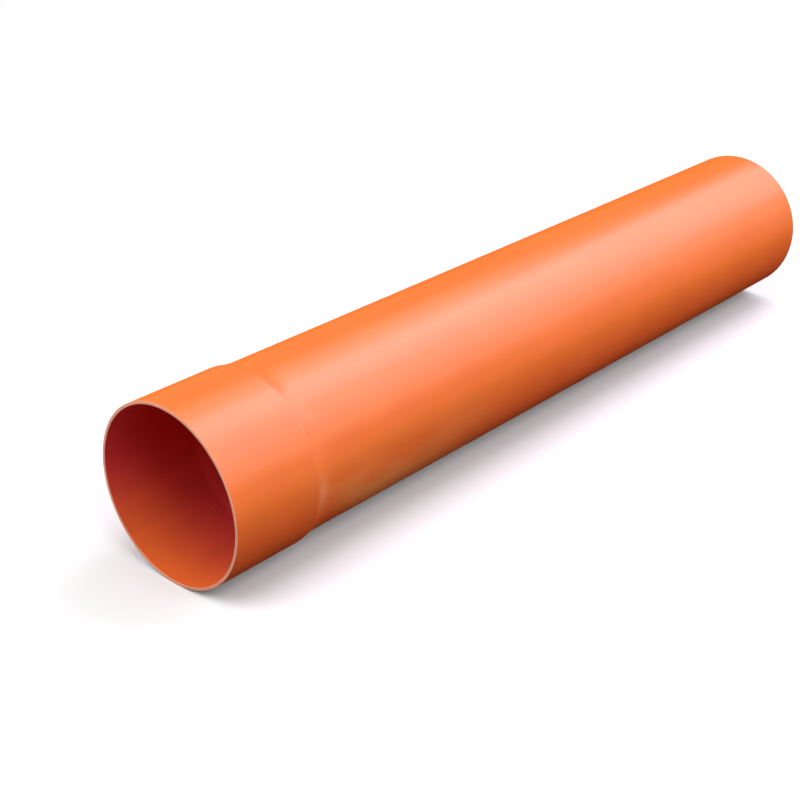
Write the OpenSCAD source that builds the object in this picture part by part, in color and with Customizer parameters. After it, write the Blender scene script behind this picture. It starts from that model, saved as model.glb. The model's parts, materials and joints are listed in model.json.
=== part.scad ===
// Drain pipe of orange unplasticised PVC with a plain solvent-weld socket.
// The barrel is extruded, sawn to length, and one end is then heated and
// pushed over a mandrel, which bells it out into the socket. It is one piece.
// It lies along X with its mouth at -X, and rests on the plane z = 0.

/* [Barrel] */
// Outside diameter of the barrel
barrel_od = 200; // [110:1:315]
// Wall thickness of the barrel
barrel_wall = 3.9; // [2.2:0.1:7.7]
// Laying length, from the root of the socket to the spigot end
laying_length = 1000; // [500:10:6000]

/* [Socket] */
// Depth of the straight bore, from the mouth to the root
socket_depth = 118; // [60:1:200]
// Wall thickness of the socket, which belling draws thinner than the barrel
socket_wall = 3.5; // [2:0.1:7]
// Play of a spigot in the socket, on the radius
spigot_play = 0.2; // [0.1:0.05:0.5]
// Length of the shoulder, from the root of the socket to the barrel
shoulder_length = 26; // [15:1:60]
// Share of the shoulder's length that is the tight curve at the socket; the rest is a wide one to the barrel
shoulder_share = 0.2; // [0.1:0.05:0.9]

/* [Ends] */
// Width of the chamfer that breaks each edge of the two sawn ends
edge_break = 0.4; // [0.1:0.1:1]

/* [Hidden] */

// Flat steps in each of the shoulder's two curves, and sides of the preview
curve_steps = 8;
$fn = 144;

barrel_r = barrel_od / 2;
bore_r = barrel_r - barrel_wall;
socket_bore_r = barrel_r + spigot_play;
socket_r = socket_bore_r + socket_wall;
barrel_start = socket_depth + shoulder_length;
overall_length = socket_depth + laying_length;

// Shoulder line from the socket's radius down to the barrel's, as [radius, distance from the mouth].
// Two arcs meet at a common tangent: the first leaves the socket level, the second reaches the barrel level.
function shoulder_line(from_r, to_r) =
    let (
        drop = from_r - to_r,
        bend_sum = (shoulder_length ^ 2 + drop ^ 2) / (2 * drop),
        socket_bend = bend_sum * shoulder_share,
        barrel_bend = bend_sum - socket_bend,
        turn = asin(shoulder_length / bend_sum)
    )
    concat(
        [for (i = [0 : curve_steps])
            let (a = turn * i / curve_steps)
            [from_r - socket_bend * (1 - cos(a)), socket_depth + socket_bend * sin(a)]],
        [for (i = [curve_steps - 1 : -1 : 0])
            let (a = turn * i / curve_steps)
            [to_r + barrel_bend * (1 - cos(a)), barrel_start - barrel_bend * sin(a)]]
    );

function reversed(points) = [for (i = [len(points) - 1 : -1 : 0]) points[i]];

// Half section of the wall, as [radius, distance from the mouth]
function wall_section() = concat(
    [[socket_r - edge_break, 0], [socket_r, edge_break]],
    shoulder_line(socket_r, barrel_r),
    [[barrel_r, overall_length - edge_break], [barrel_r - edge_break, overall_length]],
    [[bore_r + edge_break, overall_length], [bore_r, overall_length - edge_break]],
    reversed(shoulder_line(socket_bore_r, bore_r)),
    [[socket_bore_r, edge_break], [socket_bore_r + edge_break, 0]]
);

// Lays a shape that stands on its mouth along X, centred, resting on its socket
module lying() {
    translate([-overall_length / 2, 0, socket_r])
        rotate([0, 90, 0])
            children();
}

module pipe() {
    color([0.91, 0.46, 0.2])
        lying()
            rotate_extrude()
                polygon(wall_section());
}

pipe();
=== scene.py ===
"""Orange drain pipe with a belled socket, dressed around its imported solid, on a pale studio floor."""
import json
import math

import bpy
import numpy as np
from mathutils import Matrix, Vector


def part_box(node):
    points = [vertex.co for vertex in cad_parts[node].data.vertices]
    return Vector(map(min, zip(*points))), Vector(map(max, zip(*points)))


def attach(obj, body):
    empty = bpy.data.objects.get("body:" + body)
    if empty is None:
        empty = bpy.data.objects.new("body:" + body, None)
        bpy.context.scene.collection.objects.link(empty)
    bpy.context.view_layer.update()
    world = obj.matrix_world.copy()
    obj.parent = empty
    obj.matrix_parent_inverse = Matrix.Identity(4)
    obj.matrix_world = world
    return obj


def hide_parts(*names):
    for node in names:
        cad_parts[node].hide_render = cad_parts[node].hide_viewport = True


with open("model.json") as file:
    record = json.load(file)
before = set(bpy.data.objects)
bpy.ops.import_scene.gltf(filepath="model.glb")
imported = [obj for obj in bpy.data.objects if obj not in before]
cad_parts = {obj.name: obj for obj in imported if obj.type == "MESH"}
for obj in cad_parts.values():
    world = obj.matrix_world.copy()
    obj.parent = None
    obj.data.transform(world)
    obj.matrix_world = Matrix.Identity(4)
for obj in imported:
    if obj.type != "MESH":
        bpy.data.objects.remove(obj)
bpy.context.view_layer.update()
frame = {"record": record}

# Pipe wall
# One length of unplasticised PVC, extruded through a ring die and sawn square. One end is then heated and
# pushed over a mandrel. That makes the socket: a little wider and thinner, with a tight bend at its root and
# a long hollow curve down to the barrel. Outside, the bend starts a little nearer the mouth.
low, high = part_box("pipe")
fits = {mount["name"]: mount for mount in frame["record"]["mounts"]}
axis_height = fits["socket"]["pos_m"][2]
socket_bore = fits["socket"]["dims"]["r_mm"] / 1000
barrel_radius = fits["spigot"]["dims"]["r_mm"] / 1000
barrel_bore = fits["waterway"]["dims"]["r_mm"] / 1000
socket_radius = axis_height - low.z
mouth, tail = low.x, high.x

edge_break = 0.0004
root = mouth + edge_break + fits["socket"]["dims"]["length_mm"] / 1000
barrel_start = tail - edge_break - fits["spigot"]["dims"]["length_mm"] / 1000
bend_lead = 0.0065
outer_root = root - bend_lead
tight_share, outer_tight_share = 0.2, 0.15
ring_height, ring_width = 0.00008, 0.0012

steps_around = 320
angle = np.arange(steps_around) * 2 * math.pi / steps_around


def wall_radius(x, socket_r, barrel_r, bend_start, share):
    """Radius at x: level in the socket and on the barrel. Between them a tight arc leaves the socket level,
    a wide arc reaches the barrel level, and the two meet at a common tangent."""
    drop = socket_r - barrel_r
    length = barrel_start - bend_start
    bend_sum = (length**2 + drop**2) / (2 * drop)
    tight, wide = bend_sum * share, bend_sum * (1 - share)
    into_bend = np.clip(x - bend_start, 0, length)
    on_tight_arc = socket_r - tight + np.sqrt(np.maximum(tight**2 - into_bend**2, 0))
    on_wide_arc = barrel_r + wide - np.sqrt(wide**2 - (length - into_bend) ** 2)
    return np.where(into_bend < length * share, on_tight_arc, on_wide_arc)


def outer_radius(x):
    """The wall's radius outside. Where the bend starts, the mandrel's end leaves a faint ring, half a bell
    curve along the axis, and the rest of the socket lies a hair lower."""
    below_ring = ring_height * (1 - np.exp(-(((x - outer_root) / ring_width) ** 2)))
    wall = wall_radius(x, socket_radius, barrel_radius, outer_root, outer_tight_share)
    return wall - np.where(x < outer_root, below_ring, 0)


def bore_radius(x):
    """The wall's radius inside."""
    return wall_radius(x, socket_bore, barrel_bore, root, tight_share)


def uneven(seed, fewest, most):
    """Unevenness round the pipe from 0 to 1: a sum of cosine waves, from the fewest to the most to the turn,
    each with a random phase and a height that falls with its number."""
    phases = np.random.default_rng(seed)
    number = np.arange(fewest, most + 1)[:, None]
    waves = np.cos(number * angle + phases.uniform(0, 2 * math.pi, number.shape)) / np.sqrt(number)
    total = waves.sum(axis=0)
    return (total - total.min()) / np.ptp(total)


steps_on_edge, steps_on_face = 5, 7
blade_wander, wander_waves = 0.0001, (1, 5)
blade_chatter, chatter_waves = 0.00004, (30, 90)
least_scraped, more_scraped, scrape_waves = 0.5, 0.6, (5, 60)


def sawn_end(face_x, inward, outer_r, inner_r, seed):
    """Section across a sawn end at each angle, from outside to inside: a rounded edge, the face, a rounded
    edge. The blade wanders a tenth of a millimetre into the wall, and the edges are scraped unevenly."""
    turn = np.linspace(0, math.pi / 2, steps_on_edge)[:, None]
    cut = blade_wander * uneven(seed, *wander_waves) + blade_chatter * uneven(seed + 1, *chatter_waves)
    cut = cut - cut.min()
    outer_break = edge_break * (least_scraped + more_scraped * uneven(seed + 2, *scrape_waves))
    inner_break = edge_break * (least_scraped + more_scraped * uneven(seed + 3, *scrape_waves))
    outer_x = face_x + inward * (cut + outer_break * (1 - np.sin(turn)))
    inner_x = face_x + inward * (cut + inner_break * (1 - np.sin(turn[::-1])))
    outer_edge = outer_r - outer_break * (1 - np.cos(turn))
    inner_edge = inner_r + inner_break * (1 - np.cos(turn[::-1]))
    share = np.linspace(0, 1, steps_on_face)[1:-1, None]
    face_r = outer_edge[-1] * (1 - share) + inner_edge[0] * share
    face = np.broadcast_to(face_x + inward * cut, face_r.shape)
    return np.concatenate([outer_x, face, inner_x]), np.concatenate([outer_edge, face_r, inner_edge])


beside_edge = np.array([0.0003, 0.001, 0.003])
before_bend = np.array([0.0035, 0.0025, 0.0018, 0.0012, 0.0006])
clear_of_mouth, clear_of_bend, clear_of_curve, clear_of_tail = 0.01, 0.006, 0.001, 0.008
steps_in_socket, steps_in_tight, steps_in_wide, steps_on_barrel = 12, 10, 18, 74


def places_along(bend_start, share):
    """Places along the wall, from mouth to tail, closest together beside the edges and in the bend."""
    tight_end = bend_start + share * (barrel_start - bend_start)
    return np.concatenate([
        mouth + edge_break + beside_edge,
        np.linspace(mouth + clear_of_mouth, bend_start - clear_of_bend, steps_in_socket),
        bend_start - before_bend,
        np.linspace(bend_start, tight_end, steps_in_tight, endpoint=False),
        np.linspace(tight_end, barrel_start, steps_in_wide),
        np.linspace(barrel_start + clear_of_curve, tail - clear_of_tail, steps_on_barrel),
        tail - edge_break - beside_edge[::-1],
    ])


mouth_seed, tail_seed = 11, 21
outside = places_along(outer_root, outer_tight_share)
inside = places_along(root, tight_share)[::-1]
level = np.ones(steps_around)
mouth_x, mouth_r = sawn_end(mouth, 1, outer_radius(mouth), socket_bore, mouth_seed)
tail_x, tail_r = sawn_end(tail, -1, barrel_radius, barrel_bore, tail_seed)
section_x = np.concatenate([outside[:, None] * level, tail_x, inside[:, None] * level, mouth_x[::-1]])
section_r = np.concatenate([
    outer_radius(outside)[:, None] * level,
    tail_r,
    bore_radius(inside)[:, None] * level,
    mouth_r[::-1],
])
SKIN, BORE, SAWN = 0, 1, 2
section_finish = np.repeat(
    [SKIN, SAWN, BORE, SAWN, SKIN],
    [outside.size, len(tail_x) - 1, inside.size + 1, len(mouth_x) - 1, 1],
)


def turned_mesh(name, x, r, finish):
    """Closes a section round the pipe's axis: the point (x, r) at the angle a goes to
    (x, r sin a, axis height + r cos a)."""
    points = np.stack([x, r * np.sin(angle), axis_height + r * np.cos(angle)], axis=-1)
    here = np.arange(len(x))[:, None] * steps_around + np.arange(steps_around)
    onward = np.roll(here, -1, axis=0)
    quads = np.stack([here, onward, np.roll(onward, -1, axis=1), np.roll(here, -1, axis=1)], axis=-1)
    mesh = bpy.data.meshes.new(name)
    mesh.vertices.add(points.size // 3)
    mesh.vertices.foreach_set("co", points.ravel())
    mesh.loops.add(quads.size)
    mesh.loops.foreach_set("vertex_index", quads.ravel())
    mesh.polygons.add(quads.size // 4)
    mesh.polygons.foreach_set("loop_start", np.arange(0, quads.size, 4))
    mesh.polygons.foreach_set("material_index", np.repeat(finish, steps_around))
    mesh.update(calc_edges=True)
    mesh.validate()
    mesh.shade_smooth()
    return mesh


pipe = bpy.data.objects.new("drain_pipe", turned_mesh("drain_pipe", section_x, section_r, section_finish))
bpy.context.scene.collection.objects.link(pipe)
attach(pipe, "root")
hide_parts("pipe")

# Outer skin
# What the die and the cooling bath leave on the orange wall: a satin gloss, and faint lines drawn along it.
# Belling left specks at the root, and handling left rubs. A pale patch on the lower front past the
# shoulder is painted light, and so is a pale band low on the front of the shoulder. The lower half lost
# its gloss on the ground, and its colour there is painted redder, as painted shade.
skin_orange = (0.87, 0.174, 0.033, 1)
# Colour of the lower half, painted redder as painted shade
shaded_under_orange = (0.94, 0.142, 0.033, 1)
# Pale colour for rubs, specks and the bore's dash, and for the painted light on the shoulder
pale_rub_and_light_orange = (0.92, 0.36, 0.18, 1)
# Colour of a pale patch of painted light on the lower front past the shoulder
painted_light_orange = (0.97, 0.28, 0.08, 1)
skin_change = 0.16
rub_paleness, shoulder_light_paleness = 0.35, 0.4
skin_roughness, line_roughness, under_roughness = 0.24, 0.12, 0.3
gloss_roughness, gloss_index = 0.3, 1.6
full_gloss, line_dulling, rub_dulling = 1.12, -0.35, -0.4
line_depth = 0.00003
root_specks = [(-0.0036, 39.4, 0.0014), (-0.0052, 36.2, 0.0009), (-0.0026, 35.6, 0.0008)]
speck_core = 0.4

# Where each of these starts and where it is whole, by height over the axis, by depth from the axis,
# by place along the pipe, by a cloud's strength or by how far the skin is seen edge-on
under_heights = (0.02, -0.05)
gloss_heights = (0.0, 0.07)
gloss_facing = (0.84, 0.5)
front_depths = (0.0, -0.05)
light_patch_slope = 1.33
light_patch_slant = (root - 0.05, root + 0.03)
light_patch_heights = (0.03, -0.03)
light_patch_fade = (root + 0.38, root + 0.03)
light_patch_clouds, light_patch_breaks = (6, 24, 24), (0.25, 0.6)
shoulder_light_rise = (root - 0.008, root + 0.003)
shoulder_light_fall = (root + 0.018, root + 0.003)
shoulder_light_top = (0.02, -0.008)
shoulder_light_foot = (-0.045, -0.012)


def add_node(tree, kind, inputs, **settings):
    """Adds a node. An input given as a socket is linked, and any other is set."""
    node = tree.nodes.new("ShaderNode" + kind)
    for name, value in settings.items():
        setattr(node, name, value)
    for key, value in inputs.items():
        if isinstance(value, bpy.types.NodeSocket):
            tree.links.new(value, node.inputs[key])
        else:
            node.inputs[key].default_value = value
    return node


def sums(tree, operation, *values):
    """One step of arithmetic on values or sockets."""
    return add_node(tree, "Math", dict(enumerate(values)), operation=operation).outputs[0]


def product(tree, first, *others):
    """All the values multiplied together."""
    total = first
    for value in others:
        total = sums(tree, "MULTIPLY", total, value)
    return total


def mix_colour(tree, amount, first, second):
    """Goes from the first colour to the second as the amount goes from 0 to 1."""
    return add_node(tree, "MixRGB", {"Fac": amount, "Color1": first, "Color2": second}).outputs["Color"]


def soft_step(tree, value, start, end):
    """Goes from 0 at start to 1 at end, level at both."""
    limits = {"Value": value, "From Min": start, "From Max": end}
    return add_node(tree, "MapRange", limits, interpolation_type="SMOOTHSTEP").outputs["Result"]


def noise(tree, place, stretch, detail):
    """Cloudy noise from 0 to 1, with so many clouds to the metre along each axis."""
    place = add_node(tree, "Mapping", {"Vector": place, "Scale": stretch}).outputs[0]
    return add_node(tree, "TexNoise", {"Vector": place, "Scale": 1, "Detail": detail}).outputs["Fac"]


def new_effect(name, takes, gives):
    """An empty node group with named sockets, and its own input and output nodes."""
    group = bpy.data.node_groups.new(name, "ShaderNodeTree")
    for socket, kind in takes.items():
        group.interface.new_socket(socket, in_out="INPUT", socket_type="NodeSocket" + kind)
    for socket, kind in gives.items():
        group.interface.new_socket(socket, in_out="OUTPUT", socket_type="NodeSocket" + kind)
    return group, group.nodes.new("NodeGroupInput").outputs, group.nodes.new("NodeGroupOutput").inputs


def use_effect(tree, group, inputs):
    """Places a node group in a material."""
    return add_node(tree, "Group", inputs, node_tree=group).outputs


# Pigment is never mixed quite evenly: soft clouds and long streaks make the colour lighter and darker.
pigment, given, made = new_effect(
    "pigment", {"Place": "Vector", "Colour": "Color", "Change": "Float"}, {"Colour": "Color"})
clouds = noise(pigment, given["Place"], (13, 13, 13), 2)
streaks = noise(pigment, given["Place"], (0.7, 55, 55), 2)
swing = sums(pigment, "SUBTRACT", sums(pigment, "ADD", clouds, streaks), 1.0)
swing = sums(pigment, "MULTIPLY_ADD", swing, given["Change"], 1.0)
tinted = add_node(pigment, "HueSaturation", {"Value": swing, "Color": given["Colour"]})
pigment.links.new(tinted.outputs["Color"], made["Colour"])

# Lines drawn along the pipe: fine ones as a height, and broader bands that are duller.
drawn_lines, given, made = new_effect(
    "drawn_lines", {"Place": "Vector"}, {"Height": "Float", "Dullness": "Float"})
band_height = 1.5
fine_lines = noise(drawn_lines, given["Place"], (2.5, 600, 600), 3)
bands = noise(drawn_lines, given["Place"], (1.0, 110, 110), 2)
drawn_lines.links.new(sums(drawn_lines, "MULTIPLY_ADD", bands, band_height, fine_lines), made["Height"])
drawn_lines.links.new(bands, made["Dullness"])

# Light rubs from handling, in loose patches: some along the pipe, some round it.
rubs, given, made = new_effect("rubs", {"Place": "Vector"}, {"Mask": "Float"})
lengthwise_edge, crosswise_edge, patch_edge = (0.64, 0.76), (0.66, 0.78), (0.5, 0.68)
lengthwise = soft_step(rubs, noise(rubs, given["Place"], (16, 520, 520), 2), *lengthwise_edge)
crosswise = soft_step(rubs, noise(rubs, given["Place"], (640, 14, 14), 2), *crosswise_edge)
patches = soft_step(rubs, noise(rubs, given["Place"], (7, 11, 11), 3), *patch_edge)
rub = product(rubs, sums(rubs, "MAXIMUM", lengthwise, crosswise), patches)
rubs.links.new(rub, made["Mask"])


def new_finish(name, gloss):
    """A material with its shader, node tree and Object coordinates. Its own gloss is the same all over."""
    material = bpy.data.materials.new(name)
    material.use_nodes = True
    tree = material.node_tree
    shader = tree.nodes["Principled BSDF"]
    shader.inputs["Specular IOR Level"].default_value = gloss
    pipe.data.materials.append(material)
    return tree, shader, tree.nodes.new("ShaderNodeTexCoord").outputs["Object"]


def set_finish(tree, shader, colour, roughness, height, depth):
    """Joins a colour, a roughness and a height of the given depth in metres to the shader."""
    bump = add_node(tree, "Bump", {"Height": height, "Distance": depth, "Strength": 1.0})
    tree.links.new(colour, shader.inputs["Base Color"])
    tree.links.new(roughness, shader.inputs["Roughness"])
    tree.links.new(bump.outputs["Normal"], shader.inputs["Normal"])


def speck_mask(tree, place, specks, radius_at):
    """1 in small round specks on the wall. Each is so far along from the root, at an angle up from the
    front, and so large."""
    mask = 0.0
    for from_root, degrees, speck_size in specks:
        x, turn = root + from_root, math.radians(degrees)
        radius = float(radius_at(x))
        spot = (x, -radius * math.cos(turn), axis_height + radius * math.sin(turn))
        away = add_node(tree, "VectorMath", {0: place, 1: spot}, operation="DISTANCE").outputs["Value"]
        mask = sums(tree, "MAXIMUM", mask, soft_step(tree, away, speck_size, speck_size * speck_core))
    return mask


tree, shader, place = new_finish("orange_skin", gloss=0.0)
shader.inputs["Coat Roughness"].default_value = gloss_roughness
shader.inputs["Coat IOR"].default_value = gloss_index
where = add_node(tree, "SeparateXYZ", {"Vector": place}).outputs
height = sums(tree, "SUBTRACT", where["Z"], axis_height)
under = soft_step(tree, height, *under_heights)
front = soft_step(tree, where["Y"], *front_depths)
slant = sums(tree, "MULTIPLY_ADD", height, light_patch_slope, where["X"])
# Painted light: a pale patch on the lower front, past the shoulder and fading along the barrel
painted_light_patch = product(
    tree,
    soft_step(tree, slant, *light_patch_slant),
    soft_step(tree, height, *light_patch_heights),
    soft_step(tree, where["X"], *light_patch_fade),
    soft_step(tree, noise(tree, place, light_patch_clouds, 3), *light_patch_breaks),
    front,
)
# Painted light: a pale band low on the front of the shoulder
shoulder_light_band = product(
    tree,
    front,
    soft_step(tree, where["X"], *shoulder_light_rise),
    soft_step(tree, where["X"], *shoulder_light_fall),
    soft_step(tree, height, *shoulder_light_top),
    soft_step(tree, height, *shoulder_light_foot),
)
# Painted shade: the lower half is coloured redder
colour = mix_colour(tree, under, skin_orange, shaded_under_orange)
colour = mix_colour(tree, painted_light_patch, colour, painted_light_orange)
colour = use_effect(tree, pigment, {"Place": place, "Colour": colour, "Change": skin_change})["Colour"]
lines = use_effect(tree, drawn_lines, {"Place": place})
rub = use_effect(tree, rubs, {"Place": place})["Mask"]
specks = speck_mask(tree, place, root_specks, outer_radius)
rubbed = product(tree, rub, rub_paleness)
# The shoulder's pale band mixed in here is painted light
painted_shoulder_light = product(tree, shoulder_light_band, shoulder_light_paleness)
pale = sums(tree, "MAXIMUM", sums(tree, "MAXIMUM", rubbed, painted_shoulder_light), specks)
colour = mix_colour(tree, pale, colour, pale_rub_and_light_orange)
roughness = sums(tree, "MULTIPLY_ADD", lines["Dullness"], line_roughness, skin_roughness)
roughness = sums(tree, "MULTIPLY_ADD", under, under_roughness, roughness)
set_finish(tree, shader, colour, roughness, lines["Height"], line_depth)

# The gloss lies on the upper half, less on lines and rubs. The fine grain shows edge-on and dulls it there.
edge_on = add_node(tree, "LayerWeight", {"Blend": 0.5}).outputs["Facing"]
gloss = product(
    tree,
    soft_step(tree, height, *gloss_heights),
    sums(tree, "MULTIPLY_ADD", lines["Dullness"], line_dulling, full_gloss),
    sums(tree, "MULTIPLY_ADD", rub, rub_dulling, 1.0),
    soft_step(tree, edge_on, *gloss_facing),
)
tree.links.new(gloss, shader.inputs["Coat Weight"])

# Bore
# The same wall inside, where the mandrel and the puller rub it duller. Light and shade are painted into
# its colour: paler orange along the bottom, a hand's breadth in from each open end, is painted light,
# and a deeper red further in and higher up is painted shade. A short pale dash is painted in the socket,
# a little before its root.
# The bore's colours: lit orange as painted light, shaded red as painted shade
bore_lit_orange = (0.77, 0.136, 0.028, 1)
bore_shaded_red = (0.77, 0.058, 0.058, 1)
bore_change = 0.2
bore_paleness = 0.2
bore_roughness, bore_line_roughness = 0.4, 0.2
bore_line_depth = 0.00002
painted_light_reach = 0.13
painted_light_heights = (axis_height + 0.01, axis_height - 0.09)
# A short pale dash in the socket, a little before its root
dash_points, dash_size = 7, 0.0009
dash_along = np.linspace(-0.0149, -0.0108, dash_points)
dash_degrees = np.linspace(230.3, 235.8, dash_points)
pale_dash = [(from_root, degrees, dash_size) for from_root, degrees in zip(dash_along, dash_degrees)]

tree, shader, place = new_finish("orange_bore", gloss=0.1)
where = add_node(tree, "SeparateXYZ", {"Vector": place}).outputs
from_mouth = sums(tree, "SUBTRACT", where["X"], mouth)
from_tail = sums(tree, "SUBTRACT", tail, where["X"])
near = soft_step(tree, sums(tree, "MINIMUM", from_mouth, from_tail), painted_light_reach, 0.0)
# Painted light and shade: paler along the bottom near the open ends, deeper red elsewhere
painted_lit_bottom = product(tree, near, soft_step(tree, where["Z"], *painted_light_heights))
colour = mix_colour(tree, painted_lit_bottom, bore_shaded_red, bore_lit_orange)
colour = use_effect(tree, pigment, {"Place": place, "Colour": colour, "Change": bore_change})["Colour"]
lines = use_effect(tree, drawn_lines, {"Place": place})
rub = use_effect(tree, rubs, {"Place": place})["Mask"]
dashed = speck_mask(tree, place, pale_dash, bore_radius)
pale = product(tree, sums(tree, "MAXIMUM", rub, dashed), bore_paleness)
colour = mix_colour(tree, pale, colour, pale_rub_and_light_orange)
roughness = sums(tree, "MULTIPLY_ADD", lines["Dullness"], bore_line_roughness, bore_roughness)
set_finish(tree, shader, colour, roughness, lines["Height"], bore_line_depth)

# Sawn ends
# Bare PVC where the saw went through the wall: paler than the skin and dull, with the blade's marks in
# shallow arcs across it. After the cut only its edges were scraped.
sawn_pale = (0.97, 0.46, 0.32, 1)
sawn_deep = (0.93, 0.36, 0.24, 1)
sawn_change = 0.3
sawn_roughness, mark_roughness = 0.6, 0.15
blade_centre = (0, 0.42, axis_height - 0.31)
mark_spacing, mark_depth = 0.0011, 0.00004

# The wave texture has a ring every pi / (10 x scale).
tree, shader, place = new_finish("sawn_pvc", gloss=0.2)
from_blade = add_node(tree, "VectorMath", {0: place, 1: blade_centre}, operation="SUBTRACT")
rings = {"Vector": from_blade.outputs["Vector"], "Scale": math.pi / (10 * mark_spacing)}
unsteady = {"Distortion": 3, "Detail": 2, "Detail Scale": 0.2}
marks = add_node(tree, "TexWave", rings | unsteady, wave_type="RINGS", rings_direction="X").outputs["Fac"]
colour = mix_colour(tree, marks, sawn_pale, sawn_deep)
colour = use_effect(tree, pigment, {"Place": place, "Colour": colour, "Change": sawn_change})["Colour"]
roughness = sums(tree, "MULTIPLY_ADD", marks, mark_roughness, sawn_roughness)
set_finish(tree, shader, colour, roughness, marks, mark_depth)

# Floor
# A plain pale studio floor that runs to the horizon. It is white where the camera or a reflection sees it,
# with the pipe's shadow on it, and past the reach of the lamps it is white by itself. Other light finds it
# darker, so that little is thrown up under the pipe.
floor_seen = (0.9, 0.9, 0.9, 1)
floor_bounce = (0.04, 0.04, 0.04, 1)
floor_half = 150.0
lamps_fade, lamps_end = 0.95, 1.7

floor_mesh = bpy.data.meshes.new("floor")
floor_corners = np.array([(-1, -1, 0), (1, -1, 0), (1, 1, 0), (-1, 1, 0)]) * floor_half
floor_mesh.from_pydata(floor_corners.tolist(), [], [(0, 1, 2, 3)])
floor = bpy.data.objects.new("floor", floor_mesh)
bpy.context.scene.collection.objects.link(floor)


def seen_rays(tree):
    """1 for what the camera sees, straight or by a reflection or through glass, and 0 for other light."""
    ray = tree.nodes.new("ShaderNodeLightPath").outputs
    mirrored = sums(tree, "MAXIMUM", ray["Is Glossy Ray"], ray["Is Transmission Ray"])
    return sums(tree, "MAXIMUM", ray["Is Camera Ray"], mirrored)


floor_paint = bpy.data.materials.new("floor_paint")
floor_paint.use_nodes = True
tree = floor_paint.node_tree
tree.nodes.remove(tree.nodes["Principled BSDF"])
seen = seen_rays(tree)
place = tree.nodes.new("ShaderNodeTexCoord").outputs["Object"]
away = add_node(tree, "VectorMath", {0: place}, operation="LENGTH").outputs["Value"]
unlit = product(tree, seen, soft_step(tree, away, lamps_fade, lamps_end))
tone = mix_colour(tree, seen, floor_bounce, floor_seen)
lit_floor = add_node(tree, "BsdfDiffuse", {"Color": tone}).outputs["BSDF"]
white = add_node(tree, "Emission", {"Color": (1, 1, 1, 1), "Strength": 1.0}).outputs["Emission"]
floor_look = add_node(tree, "MixShader", {0: unlit, 1: lit_floor, 2: white}).outputs["Shader"]
tree.links.new(floor_look, tree.nodes["Material Output"].inputs["Surface"])
floor_mesh.materials.append(floor_paint)

# Light
# Soft boxes, well outside the picture. Those over the barrel and beyond its far end shine along the skin,
# most of them through a slightly cool cloth. Those round the mouth light the bore and the rim, and one is for
# the back. The room gives a little light of its own, and it is seen as white down at the horizon.
room_light = 0.1
horizon_top, horizon_end = 0.03, 0.1
white_cloth = (1, 1, 1)
cool_cloth = (1, 0.97, 1.12)

world = bpy.data.worlds.new("studio")
bpy.context.scene.world = world
world.use_nodes = True
tree = world.node_tree
way = tree.nodes.new("ShaderNodeTexCoord").outputs["Generated"]
rise = add_node(tree, "SeparateXYZ", {"Vector": way}).outputs["Z"]
horizon = product(tree, seen_rays(tree), soft_step(tree, rise, horizon_end, horizon_top))
brightness = sums(tree, "MULTIPLY_ADD", horizon, 1 - room_light, room_light)
tree.nodes["Background"].inputs["Color"].default_value = (1, 1, 1, 1)
tree.links.new(brightness, tree.nodes["Background"].inputs["Strength"])


def soft_box(name, middle, aim, size, strength, cloth):
    """A flat lamp turned towards a point of the axis, as bright as the strength, where 1 is white."""
    lamp = bpy.data.lights.new(name, "AREA")
    lamp.shape = "RECTANGLE"
    lamp.size, lamp.size_y = size
    lamp.energy = strength * math.pi * lamp.size * lamp.size_y
    lamp.color = cloth
    box = bpy.data.objects.new(name, lamp)
    bpy.context.scene.collection.objects.link(box)
    box.location = Vector(middle) + Vector((0, 0, axis_height))
    box.rotation_euler = (Vector(middle) - Vector((aim, 0, 0))).to_track_quat("Z", "Y").to_euler()
    box.visible_camera = False


soft_box("overhead_near", (1.95, -0.18, 3.0), 1.95, (2.5, 1.95), 3.7, cool_cloth)
soft_box("overhead_far", (4.2, -0.3, 3.0), 4.2, (2.0, 2.0), 2.8, cool_cloth)
soft_box("front_high", (3.0, -1.72, 2.46), 3.0, (4.4, 1.39), 2.2, cool_cloth)
soft_box("front", (2.45, -2.67, 1.36), 2.45, (5.5, 1.6), 1.6, white_cloth)
soft_box("beyond", (7.1, -0.31, 2.98), 7.1, (3.8, 5.0), 1.35, cool_cloth)
soft_box("back_high", (2.2, 1.32, 2.7), 2.2, (2.0, 1.06), 1.2, white_cloth)
soft_box("over_mouth", (-1.5, -0.3, 2.9), -0.5, (2.0, 1.6), 2.2, white_cloth)
soft_box("before_mouth", (-3.0, 0.0, 2.2), -0.5, (2.0, 1.6), 2.9, white_cloth)
soft_box("behind_mouth", (-2.2, 1.6, 2.2), -0.5, (2.4, 1.8), 2.4, white_cloth)
soft_box("beside_mouth", (-0.8, -2.35, 1.95), -0.5, (2.0, 1.6), 3.9, white_cloth)
soft_box("back", (-1.3, 2.8, 0.9), 0.0, (2.2, 1.4), 3.0, white_cloth)

# Camera
# It stands before the socket's mouth, to one side and above, as the photograph was taken.
camera = bpy.data.objects.new("camera", bpy.data.cameras.new("camera"))
bpy.context.scene.collection.objects.link(camera)
bpy.context.scene.camera = camera
before_mouth, beside_axis, above_axis = 0.8190, 1.0415, 0.7556
turn_right, tilt_down = 48.43, 26.34
camera.location = (mouth - before_mouth, -beside_axis, axis_height + above_axis)
camera.rotation_euler = (math.radians(90 - tilt_down), 0, -math.radians(turn_right))
camera.data.sensor_width = 36.0
camera.data.lens = 66.75
camera.data.clip_end = 3 * floor_half

bpy.context.scene.view_settings.view_transform = "Standard"
